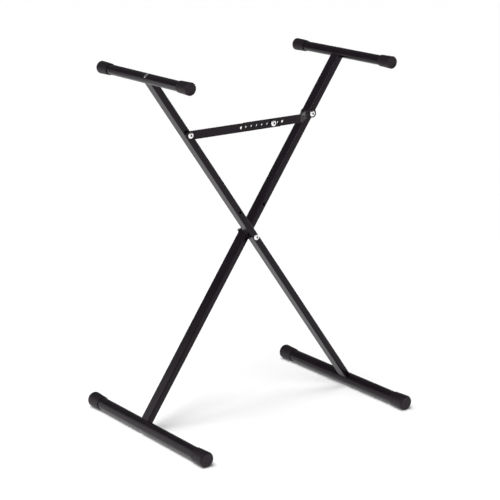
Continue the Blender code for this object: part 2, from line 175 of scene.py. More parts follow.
def new_material(name, colour, roughness, metallic=0.0):
    material = bpy.data.materials.new(name)
    material.use_nodes = True
    shader = material.node_tree.nodes["Principled BSDF"]
    shader.inputs["Base Color"].default_value = (*colour, 1.0)
    shader.inputs["Roughness"].default_value = roughness
    shader.inputs["Metallic"].default_value = metallic
    return material, material.node_tree, shader


def noise(tree, scale, detail=2.0, stretch=None):
    """A noise over the piece's own coordinates, in features per metre."""
    coordinates = tree.nodes.new("ShaderNodeTexCoord").outputs["Object"]
    if stretch:
        mapping = tree.nodes.new("ShaderNodeMapping")
        mapping.inputs["Scale"].default_value = stretch
        tree.links.new(coordinates, mapping.inputs["Vector"])
        coordinates = mapping.outputs["Vector"]
    texture = tree.nodes.new("ShaderNodeTexNoise")
    texture.inputs["Scale"].default_value = scale
    texture.inputs["Detail"].default_value = detail
    tree.links.new(coordinates, texture.inputs["Vector"])
    return texture.outputs["Fac"]


def mapped(tree, value, low, high, start, end):
    """A value from low..high carried over to start..end, and held at its ends."""
    node = tree.nodes.new("ShaderNodeMapRange")
    for socket, number in (("From Min", low), ("From Max", high), ("To Min", start), ("To Max", end)):
        node.inputs[socket].default_value = number
    tree.links.new(value, node.inputs["Value"])
    return node.outputs["Result"]


def blended(tree, factor, first, second):
    """A colour between two others, each a colour or a node's output."""
    node = tree.nodes.new("ShaderNodeMix")
    node.data_type = "RGBA"
    tree.links.new(factor, node.inputs["Factor"])
    for socket, colour in (("A", first), ("B", second)):
        socket = next(s for s in node.inputs if s.name == socket and s.type == "RGBA")
        if isinstance(colour, tuple):
            socket.default_value = (*colour, 1.0)
        else:
            tree.links.new(colour, socket)
    return next(s for s in node.outputs if s.type == "RGBA")


def calculated(tree, operation, first, second):
    node = tree.nodes.new("ShaderNodeMath")
    node.operation = operation
    for socket, value in zip(node.inputs, (first, second)):
        if isinstance(value, float):
            socket.default_value = value
        else:
            tree.links.new(value, socket)
    return node.outputs["Value"]


def bumped(tree, shader, layers):
    """Bumps from (height, depth in metres) layers, one on another."""
    normal = None
    for height, depth in layers:
        bump = tree.nodes.new("ShaderNodeBump")
        bump.inputs["Strength"].default_value = 1.0
        bump.inputs["Distance"].default_value = depth
        tree.links.new(height, bump.inputs["Height"])
        if normal:
            tree.links.new(normal, bump.inputs["Normal"])
        normal = bump.outputs["Normal"]
    tree.links.new(normal, shader.inputs["Normal"])


def edge_mask(tree, radius):
    """Near 1 on a sharp outer edge and 0 on a flat."""
    bevel = tree.nodes.new("ShaderNodeBevel")
    bevel.samples = 4
    bevel.inputs["Radius"].default_value = radius
    geometry = tree.nodes.new("ShaderNodeNewGeometry")
    compare = tree.nodes.new("ShaderNodeVectorMath")
    compare.operation = "DOT_PRODUCT"
    tree.links.new(bevel.outputs["Normal"], compare.inputs[0])
    tree.links.new(geometry.outputs["Normal"], compare.inputs[1])
    return mapped(tree, compare.outputs["Value"], 1.0, 0.75, 0.0, 1.0)


def powder_coat():
    """Black powder coat: orange peel, a fine grain, clouded gloss, faint rubs, and edges a little worn and
    lighter with a painted highlight.
    """
    material, tree, shader = new_material("black_powder_coat", (0.0066, 0.0047, 0.007), 0.2)
    shader.inputs["Specular Tint"].default_value = (1.0, 0.88, 0.98, 1.0)
    shader.inputs["IOR"].default_value = 1.3
    cloud = mapped(tree, noise(tree, 18.0, 3.0), 0.35, 0.65, 0.0, 1.0)
    rub = mapped(tree, noise(tree, 260.0, 4.0, (1.0, 1.0, 0.12)), 0.62, 0.74, 0.0, 1.0)
    colour = blended(tree, cloud, COAT_DARK, COAT_LIGHT)
    # Edges a little worn, and lighter with a painted highlight
    edge_wear_and_highlight = calculated(tree, "MULTIPLY", edge_mask(tree, 0.0005),
                      mapped(tree, noise(tree, 140.0, 4.0), 0.4, 0.75, 0.0, 0.35))
    colour = blended(tree, calculated(tree, "MULTIPLY", rub, 0.25), colour, COAT_RUBBED)
    colour = blended(tree, edge_wear_and_highlight, colour, COAT_WEAR_AND_EDGE_HIGHLIGHT)
    tree.links.new(colour, shader.inputs["Base Color"])
    gloss = mapped(tree, noise(tree, 45.0, 3.0), 0.3, 0.7, 0.16, 0.22)
    gloss = calculated(tree, "ADD", gloss, calculated(tree, "MULTIPLY", rub, 0.08))
    tree.links.new(gloss, shader.inputs["Roughness"])
    bumped(tree, shader, ((noise(tree, 620.0, 1.0), 0.00004), (noise(tree, 2600.0, 2.0), 0.00001)))
    return material


def rubber():
    """Satin black moulded rubber with a fine grain, a faint bloom, and edges lighter with scuffs and a
    painted highlight, which rings the dish at a cap's end.
    """
    material, tree, shader = new_material("black_rubber", (0.0066, 0.005, 0.0068), 0.35)
    shader.inputs["IOR"].default_value = 1.4
    shader.inputs["Specular Tint"].default_value = (1.0, 0.86, 0.98, 1.0)
    bloom = mapped(tree, noise(tree, 90.0, 5.0), 0.5, 0.72, 0.0, 0.5)
    colour = blended(tree, bloom, RUBBER_DARK, RUBBER_BLOOM)
    # Scuffs and a painted highlight lighten the edges, the rim round the dish at a cap's end among them
    scuff_and_highlight = calculated(tree, "MULTIPLY", edge_mask(tree, 0.001),
                       mapped(tree, noise(tree, 160.0, 4.0), 0.3, 0.7, 0.4, 1.0))
    tree.links.new(blended(tree, scuff_and_highlight, colour, RUBBER_SCUFF_AND_HIGHLIGHT), shader.inputs["Base Color"])
    tree.links.new(mapped(tree, noise(tree, 220.0, 3.0), 0.3, 0.7, 0.48, 0.6), shader.inputs["Roughness"])
    bumped(tree, shader, ((noise(tree, 900.0, 3.0), 0.00004), (noise(tree, 3200.0, 2.0), 0.00002)))
    return material


def zinc():
    """Bright zinc plate with turning marks and an uneven passivation, darkened in a bolt's socket by oil and
    painted shade.
    """
    material, tree, shader = new_material("bright_zinc", (0.9, 0.9, 0.9), 0.2, 1.0)
    tint = mapped(tree, noise(tree, 350.0, 3.0), 0.35, 0.65, 0.0, 1.0)
    place = tree.nodes.new("ShaderNodeSeparateXYZ")
    tree.links.new(tree.nodes.new("ShaderNodeTexCoord").outputs["Object"], place.inputs["Vector"])
    across = [calculated(tree, "POWER", place.outputs[axis], 2.0) for axis in "XY"]
    away = calculated(tree, "SQRT", calculated(tree, "ADD", *across), 0.0)
    # Painted shade and oil: the plate goes dark inside a bolt's socket, above its seat
    inside = mapped(tree, away, SOCKET_FLATS * 0.46, SOCKET_FLATS * 0.54, 1.0, 0.0)
    socket = calculated(tree, "MULTIPLY", inside, mapped(tree, place.outputs["Z"], 0.0, 0.0005, 0.0, 1.0))
    plate = blended(tree, tint, ZINC_BLUISH, ZINC_YELLOWISH)
    tree.links.new(blended(tree, socket, plate, SOCKET_SHADE_AND_OIL), shader.inputs["Base Color"])
    gloss = mapped(tree, noise(tree, 900.0, 4.0), 0.3, 0.7, 0.14, 0.26)
    tree.links.new(calculated(tree, "ADD", gloss, calculated(tree, "MULTIPLY", socket, 0.25)),
                   shader.inputs["Roughness"])
    bumped(tree, shader, ((noise(tree, 1500.0, 3.0, (1.0, 1.0, 6.0)), 0.000012),))
    return material


def plain_steel():
    """Cut steel with streaks and a little rust bloom, inside the tubes."""
    material, tree, shader = new_material("plain_steel", (0.3, 0.29, 0.28), 0.45, 1.0)
    bloom = mapped(tree, noise(tree, 120.0, 5.0), 0.55, 0.75, 0.0, 0.6)
    tree.links.new(blended(tree, bloom, CUT_STEEL, RUST), shader.inputs["Base Color"])
    tree.links.new(mapped(tree, noise(tree, 500.0, 3.0, (1.0, 1.0, 0.1)), 0.3, 0.7, 0.35, 0.6),
                   shader.inputs["Roughness"])
    bumped(tree, shader, ((noise(tree, 900.0, 3.0, (1.0, 1.0, 0.08)), 0.00002),))
    return material


def nylon():
    """Matt black nylon."""
    material, tree, shader = new_material("black_nylon", (0.02, 0.02, 0.021), 0.5)
    tree.links.new(mapped(tree, noise(tree, 400.0, 3.0), 0.3, 0.7, 0.42, 0.6), shader.inputs["Roughness"])
    tree.links.new(blended(tree, noise(tree, 200.0, 3.0), NYLON_DARK, NYLON_LIGHT),
                   shader.inputs["Base Color"])
    bumped(tree, shader, ((noise(tree, 1800.0, 2.0), 0.00002),))
    return material


FINISHES = {"black_steel": powder_coat(), "rubber": rubber(), "zinc": zinc(), "nylon": nylon(),
            "plain_steel": plain_steel()}


# Shapes

def arc(centre, radius, start, end, steps):
    """Points on an arc, with its angles in degrees."""
    turns = [math.radians(start + (end - start) * i / steps) for i in range(steps + 1)]
    return [(centre[0] + radius * math.cos(t), centre[1] + radius * math.sin(t)) for t in turns]


def circle(centre, radius, steps):
    """Points round a circle, each once."""
    return arc(centre, radius, 0, 360 * (steps - 1) / steps, steps - 1)


def ring(radius, height, steps):
    """Points round Z. The radius and the height may each be a function of the angle."""
    points = []
    for i in range(steps):
        angle = 2 * math.pi * i / steps
        r = radius(angle) if callable(radius) else radius
        z = height(angle) if callable(height) else height
        points.append((r * math.cos(angle), r * math.sin(angle), z))
    return points


def skin(rings, closed=False):
    """A surface over rings of points. A ring of one point ends the form."""
    form = bmesh.new()
    loops = [[form.verts.new(point) for point in points] for points in rings]
    pairs = list(zip(loops, loops[1:]))
    if closed:
        pairs.append((loops[-1], loops[0]))
    for first, second in pairs:
        count = max(len(first), len(second))
        for i in range(count):
            j = (i + 1) % count
            if len(first) == 1:
                form.faces.new((first[0], second[i], second[j]))
            elif len(second) == 1:
                form.faces.new((first[i], first[j], second[0]))
            else:
                form.faces.new((first[i], first[j], second[j], second[i]))
    bmesh.ops.recalc_face_normals(form, faces=form.faces)
    return form


def turned(profile, steps=ROUND_STEPS, closed=False):
    """Turn (radius, height) points about Z. A radius of 0 ends the form on its axis."""
    return skin([[(0, 0, z)] if r == 0 else ring(r, z, steps) for r, z in profile], closed)


def mesh_of(form, name):
    mesh = bpy.data.meshes.new(name)
    form.to_mesh(mesh)
    form.free()
    return mesh


def loose_object(name, mesh, matrix):
    obj = bpy.data.objects.new(name, mesh)
    bpy.context.scene.collection.objects.link(obj)
    obj.matrix_world = matrix
    return obj


def baked(obj):
    """The object's mesh with its modifiers applied, in its own axes."""
    bpy.context.view_layer.update()
    shaped = obj.evaluated_get(bpy.context.evaluated_depsgraph_get())
    return bpy.data.meshes.new_from_object(shaped)


def cut(obj, cutters):
    """Cut an object by meshes, each with its matrix."""
    tools = []
    for mesh, matrix in cutters:
        tool = loose_object("cutter", mesh, matrix)
        step = obj.modifiers.new("cut", "BOOLEAN")
        step.operation = "DIFFERENCE"
        step.solver = "EXACT"
        step.object = tool
        tools.append(tool)
    result = baked(obj)
    obj.modifiers.clear()
    obj.data = result
    for tool in tools:
        bpy.data.objects.remove(tool)


def shade(mesh):
    mesh.shade_smooth()
    mesh.set_sharp_from_angle(angle=SHARP_ANGLE)


def add(name, mesh, matrix, body, slot, nodes, cutters=(), flats=False):
    """Place a piece for its CAD nodes, finish it, and let it ride on its body."""
    obj = loose_object(name, mesh, matrix)
    if cutters:
        cut(obj, cutters)
    shade(obj.data)
    if flats:
        weighted = obj.modifiers.new("flats", "WEIGHTED_NORMAL")
        weighted.keep_sharp = True
    obj.data.materials.clear()
    obj.data.materials.append(FINISHES[slot])
    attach(obj, body)
    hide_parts(*nodes)
    return obj


def middle(node):
    low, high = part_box(node)
    return (low + high) / 2


def spaced(start, end, count):
    return [start + (end - start) * i / count for i in range(count + 1)]


# Legs

def leg_outline(width, depth, radius):
    """A rounded rectangle with points along its flats too, so that its saddles curve."""
    x, y = width / 2 - radius, depth / 2 - radius
    corners = (((x, y), 0), ((-x, y), 90), ((-x, -y), 180), ((x, -y), 270))
    points = []
    for i, (centre, start) in enumerate(corners):
        points += arc(centre, radius, start, start + 90, CORNER_STEPS)
        following, turn = corners[(i + 1) % 4]
        first = points[-1]
        second = arc(following, radius, turn, turn + 90, CORNER_STEPS)[0]
        for share in spaced(0, 1, FLAT_STEPS)[1:-1]:
            points.append(tuple(a + (b - a) * share for a, b in zip(first, second)))
    return points


def leg_heights():
    """Rings along a leg, close together at its holes."""
    holes = (0.0, SPARE_HOLE_HEIGHT, BRACE_HEIGHT)
    reach = 0.006
    above_foot, below_arm, sparse_steps = 0.03, 0.025, 24
    heights = spaced(-LOWER_LEG + above_foot, UPPER_LEG - below_arm, sparse_steps)
    heights = [z for z in heights if all(abs(z - hole) > reach for hole in holes)]
    for hole in holes:
        heights += spaced(hole - reach, hole + reach, int(2 * reach / DENSE_STEP))
    return sorted(heights)


def leg_wall(outline):
    """Rings of one wall of a leg, from its saddle on the foot to its saddle on the arm."""
    foot, arm = FOOT_RADIUS + GAP, ARM_RADIUS + GAP
    rings = [[(x, y, -LOWER_LEG + math.sqrt(foot ** 2 - x ** 2)) for x, y in outline]]
    rings += [[(x, y, z) for x, y in outline] for z in leg_heights()]
    rings.append([(x, y, UPPER_LEG - math.sqrt(arm ** 2 - x ** 2)) for x, y in outline])
    return rings


def through_hole(radius):
    """A cutter for a hole through a leg, which opens a little at both faces."""
    half, beyond = LEG_DEPTH / 2, 0.001
    wide = radius + EDGE + beyond
    side = [(radius, EDGE - half), (radius, half - EDGE)]
    return mesh_of(turned([(0, -half - beyond), (wide, -half - beyond)] + side
                          + [(wide, half + beyond), (0, half + beyond)], BOLT_STEPS), "hole")


def add_leg(name, turn_frame, depth, body):
    outer = leg_wall(leg_outline(LEG_WIDTH, LEG_DEPTH, LEG_CORNER))
    inner = leg_wall(leg_outline(LEG_WIDTH - 2 * LEG_WALL, LEG_DEPTH - 2 * LEG_WALL, LEG_CORNER - LEG_WALL))
    place = turn_frame @ Matrix.Translation((0, depth, 0))
    cutters = [(through_hole(radius), place @ Matrix.Translation((0, 0, height)) @ TO_BACK)
               for height, radius in ((0.0, PIVOT_SHANK_RADIUS + GAP), (BRACE_HEIGHT, SHANK_RADIUS + GAP),
                                      (SPARE_HOLE_HEIGHT, STRAP_HOLE_RADIUS))]
    mesh = mesh_of(skin(outer + inner[::-1], closed=True), name)
    add(name + "_tube", mesh, place, body, "black_steel", [name], cutters, flats=True)


# Arms and feet

def rim_bead(tube_radius, hole_radius):
    """The coat's bead along a round hole's edge on a tube. The tube's axis is Y and the hole's axis is Z."""
    sunk, steps = RIM_BEAD * 0.7, 10
    turns = [2 * math.pi * k / steps for k in range(steps)]
    up = Vector((0, 0, 1))
    rings = []
    for i in range(ROUND_STEPS):
        angle = 2 * math.pi * i / ROUND_STEPS
        x, y = hole_radius * math.cos(angle), hole_radius * math.sin(angle)
        centre = Vector((x, y, math.sqrt(tube_radius ** 2 - x ** 2) - sunk))
        out = Vector((math.cos(angle), math.sin(angle), 0))
        rings.append([centre + RIM_BEAD * (out * math.cos(t) + up * math.sin(t)) for t in turns])
    return skin(rings, closed=True)


def add_bead(tube, tube_radius, hole_radius, place):
    """Join the bead of a hole to a tube. The place is the hole's, in the tube's own axes."""
    bead = rim_bead(tube_radius, hole_radius)
    bead.transform(place)
    form = bmesh.new()
    form.from_mesh(tube.data)
    form.from_mesh(mesh_of(bead, "bead"))
    form.to_mesh(tube.data)
    form.free()
    shade(tube.data)


def rail_stations(near, far, depth):
    """Rings along an arm or a foot, close together at its screw's depth."""
    reach = SCREW_HEAD_RADIUS + 0.002
    inside_cap, margin, sparse_steps = 0.04, 0.01, 5
    stations = [near, near + EDGE] + spaced(near + inside_cap, depth - reach - margin, sparse_steps)
    stations += spaced(depth - reach, depth + reach, int(2 * reach / DENSE_STEP))
    stations += spaced(depth + reach + margin, far - inside_cap, sparse_steps)
    return stations + [far - EDGE, far]


def round_cutter(radius, low, high, steps):
    return mesh_of(turned([(0, low), (radius, low), (radius, high), (0, high)], steps), "hole")


def add_rail(name, radius, turn_frame, height, depth, up, body):
    """An arm or a foot: a tube with a hole for its screw's head, and one opposite for the shank."""
    low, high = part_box(name)
    near, far = low.y, high.y
    stations = rail_stations(near, far, depth)
    outer = [ring(radius - (EDGE if y in (near, far) else 0), y, ROUND_STEPS) for y in stations]
    inner = [ring(radius - TUBE_WALL, y, ROUND_STEPS) for y in stations]
    mesh = mesh_of(skin(outer + inner[::-1], closed=True), name)
    place = Matrix.Translation(turn_frame @ Vector((0, 0, height))) @ TO_BACK
    outward = Matrix.Identity(4) if up > 0 else DOWNWARD
    screw_frame = turn_frame @ Matrix.Translation((0, depth, height)) @ outward
    head_hole = SCREW_HEAD_RADIUS + GAP
    in_bore, beyond = radius * 0.4, radius * 1.5
    tube = add(name + "_tube", mesh, place, body, "black_steel", [name],
               [(round_cutter(head_hole, in_bore, beyond, ROUND_STEPS), screw_frame),
                (round_cutter(SHANK_RADIUS + GAP, -beyond, -in_bore, BOLT_STEPS), screw_frame)])
    add_bead(tube, radius, head_hole, place.inverted() @ screw_frame)
    add_screw(name, radius, screw_frame, body)
    for end, facing in (("front", -1), ("back", 1)):
        add_cap(f"{name}_{end}_cap", radius, facing, body)


def add_screw(name, tube_radius, screw_frame, body):
    seat = tube_radius - SCREW_HEAD_HEIGHT
    form = bolt_form(SCREW_HEAD_RADIUS, SCREW_HEAD_HEIGHT, SHANK_RADIUS, seat + tube_radius + SCREW_GRIP)
    add(name + "_zinc_screw", mesh_of(form, name), screw_frame @ Matrix.Translation((0, 0, seat)), body,
        "zinc", [name + "_screw"])


def cap_profile(tube_radius, length, widest, sizes):
    """(radius, height) points of a cap from the bottom of its bore, out over its mouth, to its closed end."""
    bore = tube_radius + GAP / 2
    mouth = bore + sizes["wall"]
    rounding, depth, floor = sizes["rounding"], sizes["dish"], length - sizes["floor"]
    face = widest - rounding
    dish = face - sizes["rim"]
    gate, gate_top, gate_height = 0.0016, 0.0012, 0.0002
    points = [(0, floor), (bore, floor), (bore, CAP_LIP)]
    points += arc((bore + CAP_LIP, CAP_LIP), CAP_LIP, 180, 270, 4)
    points += arc((mouth - CAP_LIP, CAP_LIP), CAP_LIP, 270, 360, 5)
    points += [(mouth + (widest - mouth) * (z - CAP_LIP) / (length - rounding - CAP_LIP), z)
               for z in spaced(CAP_LIP, length - rounding, 12)[1:-1]]
    points += arc((face, length - rounding), rounding, 0, 90, 14)
    points += arc((dish + CAP_EDGE, length - CAP_EDGE), CAP_EDGE, 90, 170, 4)
    points += arc((dish - depth - CAP_EDGE, length - depth + CAP_EDGE), CAP_EDGE, -10, -90, 4)
    points += [(dish * share, length - depth) for share in (0.66, 0.33)]
    gate_face = length - depth + gate_height
    return points + [(gate, length - depth), (gate_top, gate_face), (0, gate_face)]


def add_cap(node, tube_radius, facing, body):
    low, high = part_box(node)
    mouth_y = low.y if facing > 0 else high.y
    centre = middle(node)
    sizes = FOOT_CAP if tube_radius == FOOT_RADIUS else ARM_CAP
    profile = cap_profile(tube_radius, high.y - low.y, (high.z - low.z) / 2, sizes)
    place = Matrix.Translation((centre.x, mouth_y, centre.z)) @ (TO_BACK if facing > 0 else TO_FRONT)
    add(node + "_rubber", mesh_of(turned(profile), node), place, body, "rubber", [node])


# Bolts, nuts and washers

def hexagonal(apothem):
    """The radius of a hexagon at an angle, with a corner at angle 0."""
    return lambda angle: apothem / math.cos(angle % (math.pi / 3) - math.pi / 6)


def thread_rings(radius, start, end, pitch):
    """Rings down a shank from start to end, with a helical groove that fades in at its start."""
    rings = []
    lead_in = THREAD_DEPTH * 1.2
    count = int((start - end) / pitch * THREAD_STEPS)
    for z in spaced(start, end, count):
        fade = min(1.0, (start - z) / pitch)
        taper = max(0.0, lead_in - (z - end))

        def groove(angle, z=z, fade=fade, taper=taper):
            phase = (z / pitch - angle / (2 * math.pi)) % 1.0
            depth = THREAD_DEPTH * fade * (1 - abs(2 * phase - 1))
            return radius - max(depth, taper)
        rings.append(ring(groove, z, BOLT_STEPS))
    return rings


def bolt_form(head_radius, head_height, shank_radius, shank_length, pitch=THREAD_PITCH):
    """A domed socket head over a shank whose end is threaded. The seat is at 0 and the head lies along Z."""
    rim, rise = HEAD_RIM, head_height - HEAD_RIM
    apothem = SOCKET_FLATS / 2
    floor = head_height - SOCKET_DEPTH
    drill_point, drop, fillet, least_neck = 0.0003, 0.0002, 0.0003, 0.0006
    round_from = head_radius * 0.62

    def dome(r):
        return rim + rise * math.sqrt(max(0.0, 1 - (r / head_radius) ** 2))

    mouth = hexagonal(apothem + SOCKET_BEVEL)
    wall = hexagonal(apothem)
    rings = [[(0, 0, floor - drill_point)],
             ring(hexagonal(apothem * 0.5), floor - drill_point / 3, BOLT_STEPS),
             ring(wall, floor, BOLT_STEPS), ring(wall, lambda a: dome(wall(a)) - drop, BOLT_STEPS),
             ring(mouth, lambda a: dome(mouth(a)), BOLT_STEPS)]
    for share in (0.35, 0.7, 1.0):
        def blend(angle, share=share):
            return mouth(angle) * (1 - share) + round_from * share
        rings.append(ring(blend, lambda a, blend=blend: dome(blend(a)), BOLT_STEPS))
    for degrees in (45, 37, 29, 21, 14, 7, 0):
        turn = math.radians(degrees)
        rings.append(ring(head_radius * math.cos(turn), rim + rise * math.sin(turn), BOLT_STEPS))
    rings += [ring(r, z, BOLT_STEPS) for r, z in
              ((head_radius, rim * 0.4), (head_radius - rim * 0.12, rim * 0.12), (head_radius - rim * 0.4, 0),
               (shank_radius + fillet, 0), (shank_radius, -fillet))]
    start = -max(shank_length - THREAD_LENGTH, least_neck)
    rings += thread_rings(shank_radius, start, -shank_length, pitch)
    rings.append([(0, 0, -shank_length)])
    return skin(rings)


def add_bolt(node, name, body, shank_radius=SHANK_RADIUS, pitch=THREAD_PITCH, turn=0.0):
    """A bolt along Y with its head in front, in the space of its node."""
    low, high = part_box(node)
    seat = low.y + HEAD_HEIGHT
    centre = middle(node)
    form = bolt_form(HEAD_RADIUS, HEAD_HEIGHT, shank_radius, high.y - seat, pitch)
    place = Matrix.Translation((centre.x, seat, centre.z)) @ Matrix.Rotation(turn, 4, "Y") @ TO_FRONT
    add(name, mesh_of(form, name), place, body, "zinc", [node])


def nut_form(flats, height, shank_radius, collar):
    """A hexagon nut with chamfered corners, and a round collar over it where it is a lock nut."""
    edge = hexagonal(flats / 2)
    face = flats / 2 * 0.95
    bore = shank_radius + 0.0001
    top = height - collar
    slope = math.tan(NUT_CHAMFER)

    def lower(angle):
        return (edge(angle) - face) * slope

    rings = [ring(r, z, BOLT_STEPS) for r, z in
             ((bore, NUT_BEVEL), (bore + NUT_BEVEL, 0), (face, 0), (edge, lower),
              (edge, lambda a: top - lower(a)), (face, top))]
    if collar:
        radius, rounding = face - NUT_BEVEL, collar * 0.6
        insert_mouth, insert = bore + 0.0009, bore + 0.0007
        rings.append(ring(radius, top + 0.0001, BOLT_STEPS))
        rings += [ring(r, z, BOLT_STEPS) for r, z in
                  arc((radius - rounding, height - rounding), rounding, 0, 90, 6)]
        rings.append(ring(insert_mouth, height, BOLT_STEPS))
        rings.append(ring(insert, height - NUT_BEVEL, BOLT_STEPS))
    else:
        rings.append(ring(bore + NUT_BEVEL, height, BOLT_STEPS))
    rings.append(ring(bore, height - NUT_BEVEL, BOLT_STEPS))
    return skin(rings, closed=True)


def add_nut(node, name, body, flats, shank_radius, turn, collar=0.0):
    low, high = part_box(node)
    centre = middle(node)
    place = Matrix.Translation((centre.x, low.y, centre.z)) @ Matrix.Rotation(turn, 4, "Y") @ TO_BACK
    form = nut_form(flats, high.y - low.y, shank_radius, collar)
    add(name, mesh_of(form, name), place, body, "zinc", [node], flats=True)


def add_washer(node, name, body, slot, radius, shank_radius):
    low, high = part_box(node)
    centre = middle(node)
    thickness = high.y - low.y
    bore, soft = shank_radius + GAP, min(EDGE * 0.7, thickness * 0.3)
    profile = arc((bore + soft, soft), soft, 180, 270, 3) + arc((radius - soft, soft), soft, 270, 360, 4)
    profile += arc((radius - soft, thickness - soft), soft, 0, 90, 4)
    profile += arc((bore + soft, thickness - soft), soft, 90, 180, 3)
    place = Matrix.Translation((centre.x, low.y, centre.z)) @ TO_BACK
    add(name, mesh_of(turned(profile, BOLT_STEPS, closed=True), name), place, body, slot, [node])


# Brace

def strap_plan(length):
    """A strap's outline, rounded at its bolt's end and blunt at its free end."""
    half = STRAP_WIDTH / 2
    plan = arc((length - STRAP_TIP_ROUND, half - STRAP_TIP_ROUND), STRAP_TIP_ROUND, 90, 0, 6)
    plan += arc((length - STRAP_TIP_ROUND, STRAP_TIP_ROUND - half), STRAP_TIP_ROUND, 0, -90, 6)
    plan += arc((STRAP_END_ROUND - STRAP_END, STRAP_END_ROUND - half), STRAP_END_ROUND, 270, 180, 16)
    plan += arc((STRAP_END_ROUND - STRAP_END, half - STRAP_END_ROUND), STRAP_END_ROUND, 180, 90, 16)
    return plan


def flat_strap(length, direction, lock_distance, lock_hole):
    """A punched strap in its own XY plane, with soft edges at its outline and its holes."""
    curve = bpy.data.curves.new("strap_plan", "CURVE")
    curve.dimensions = "2D"
    curve.fill_mode = "BOTH"
    curve.extrude = STRAP_THICKNESS / 2 - EDGE
    curve.bevel_depth = EDGE
    curve.bevel_resolution = 2
    curve.offset = -EDGE
    outlines = [strap_plan(length), circle((0, 0), SHANK_RADIUS + GAP, BOLT_HOLE_STEPS)]
    for i in range(STRAP_HOLES):
        distance = lock_distance + (lock_hole - 1 - i) * HOLE_PITCH
        outlines.append(circle((distance, 0), STRAP_HOLE_RADIUS, HOLE_STEPS))
    for outline in outlines:
        spline = curve.splines.new("POLY")
        spline.points.add(len(outline) - 1)
        for point, (x, y) in zip(spline.points, outline):
            point.co = (direction * x, y, 0, 1)
        spline.use_cyclic_u = True
    obj = loose_object("strap_plan", curve, Matrix.Identity(4))
    mesh = baked(obj)
    bpy.data.objects.remove(obj)
    form = bmesh.new()
    form.from_mesh(mesh)
    bmesh.ops.remove_doubles(form, verts=form.verts, dist=MERGE_DISTANCE)
    bmesh.ops.recalc_face_normals(form, faces=form.faces)
    return form


def crank_depth(distance):
    """Depth and slope of the rear strap's middle plane at a distance from its bolt."""
    drop = FRONT_BRACE.y + GAP + STRAP_THICKNESS - REAR_BRACE.y
    slope = math.atan2(drop, CRANK_RUN)
    back_off = CRANK_BEND_RADIUS * math.tan(-slope / 2)
    first, second = CRANK_START - back_off, CRANK_START + CRANK_RUN + back_off
    bend = -CRANK_BEND_RADIUS * math.sin(slope)
    if distance <= first:
        return 0.0, 0.0
    if distance < first + bend:
        turn = -math.asin((distance - first) / CRANK_BEND_RADIUS)
        return CRANK_BEND_RADIUS * (math.cos(turn) - 1), turn
    if distance <= second - bend:
        return math.tan(slope) * (distance - CRANK_START), slope
    if distance < second:
        turn = -math.asin((second - distance) / CRANK_BEND_RADIUS)
        return drop + CRANK_BEND_RADIUS * (1 - math.cos(turn)), turn
    return drop, 0.0


def bend_strap(form, direction):
    """Divide a flat strap across its bends, and carry each point over to the cranked line."""
    margin, cuts = 0.006, 110
    for distance in spaced(CRANK_START - margin, CRANK_START + CRANK_RUN + margin, cuts):
        bmesh.ops.bisect_plane(form, geom=form.verts[:] + form.edges[:] + form.faces[:],
                               plane_co=(direction * distance, 0, 0), plane_no=(1, 0, 0))
    for vert in form.verts:
        distance, offset = vert.co.x * direction, vert.co.z
        depth, turn = crank_depth(distance)
        vert.co.x = direction * (distance - offset * math.sin(turn))
        vert.co.z = depth + offset * math.cos(turn)


def add_strap(name, origin, direction, lock_hole, body, cranked):
    low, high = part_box(name)
    length = (high.x - origin.x) if direction > 0 else (origin.x - low.x)
    form = flat_strap(length, direction, abs(LOCK_X - origin.x), lock_hole)
    if cranked:
        bend_strap(form, direction)
    add(name + "_bar", mesh_of(form, name), Matrix.Translation(origin) @ TO_BACK, body, "black_steel", [name],
        flats=True)


def add_lock():
    """The lock bolt's two halves, with the washer under its head and the nut behind."""
    add_washer("lock_washer", "lock_bolt_washer", "front_brace", "black_steel", LOCK_WASHER_RADIUS,
               SHANK_RADIUS)
    add_bolt("lock_bolt", "lock_bolt_head", "front_brace")
    low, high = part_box("lock_bolt_end")
    bevel = 0.0001
    rings = [[(0, 0, 0)], ring(SHANK_RADIUS - bevel, 0, BOLT_STEPS)]
    rings += thread_rings(SHANK_RADIUS, -bevel, low.y - high.y, THREAD_PITCH)
    rings.append([(0, 0, low.y - high.y)])
    place = Matrix.Translation((LOCK_X, low.y, middle("lock_bolt_end").z)) @ TO_FRONT
    add("lock_bolt_thread", mesh_of(skin(rings), "lock_bolt_thread"), place, "rear_brace", "zinc",
        ["lock_bolt_end"])
    add_nut("lock_nut", "lock_hex_nut", "rear_brace", NUT_FLATS, SHANK_RADIUS, 0.0)


